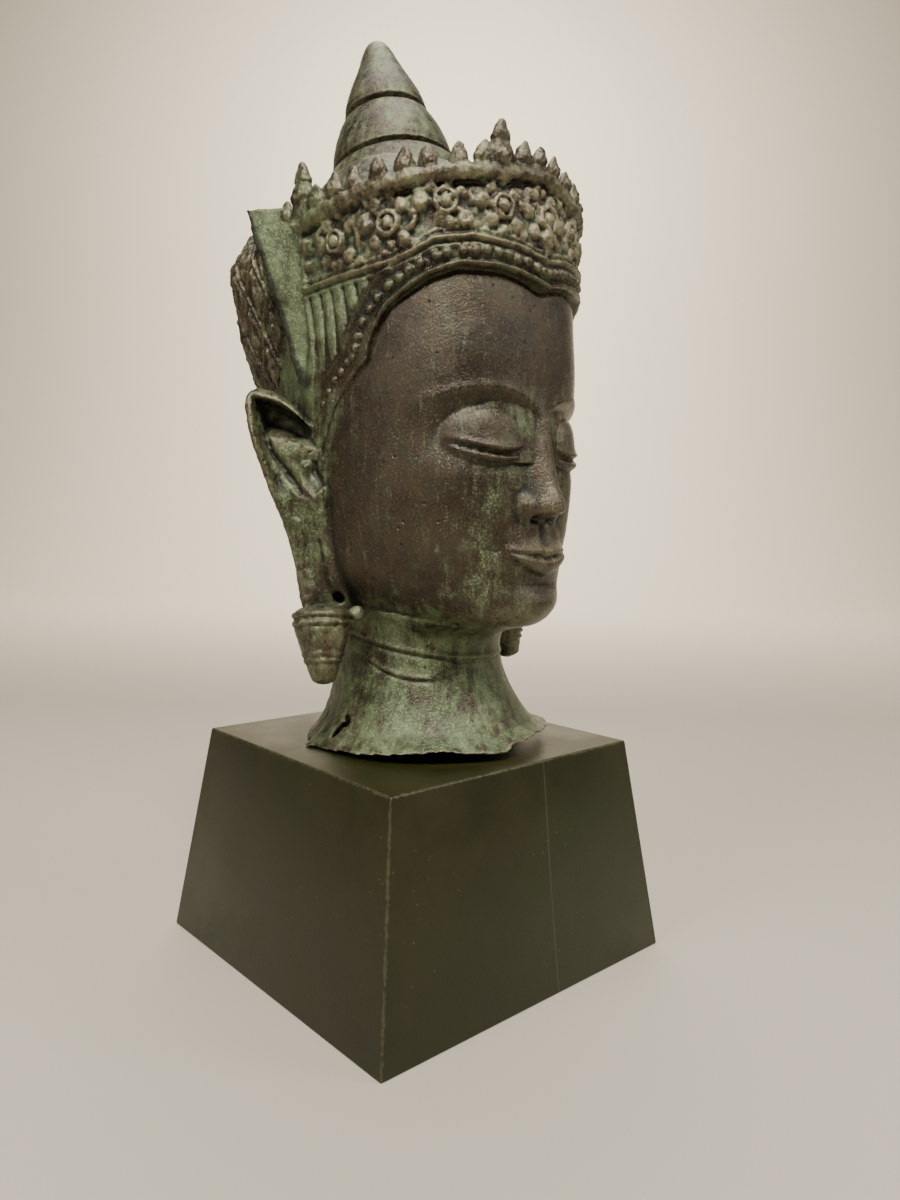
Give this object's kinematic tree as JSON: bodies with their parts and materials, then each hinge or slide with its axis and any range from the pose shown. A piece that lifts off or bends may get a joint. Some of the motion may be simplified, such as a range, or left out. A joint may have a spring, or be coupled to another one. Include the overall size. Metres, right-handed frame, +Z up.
{
  "type": "buddha head on plinth",
  "caption": "Crowned Buddha head in patinated bronze with a tiered topknot, long ears and a flared open neck, standing on a tapered square plinth",
  "frame": {"origin": "middle of the plinth's underside, on the table", "axes": "+Z up, the face looks along -Y, the head's left is +X"},
  "size_m": [0.1648, 0.1648, 0.4198],
  "materials": {
    "bronze": "cast bronze, dark brown with green verdigris",
    "paint": "satin olive-brown paint"
  },
  "bodies": {
    "root": {"head": "bronze", "plinth": "paint"}
  },
  "joints": []
}
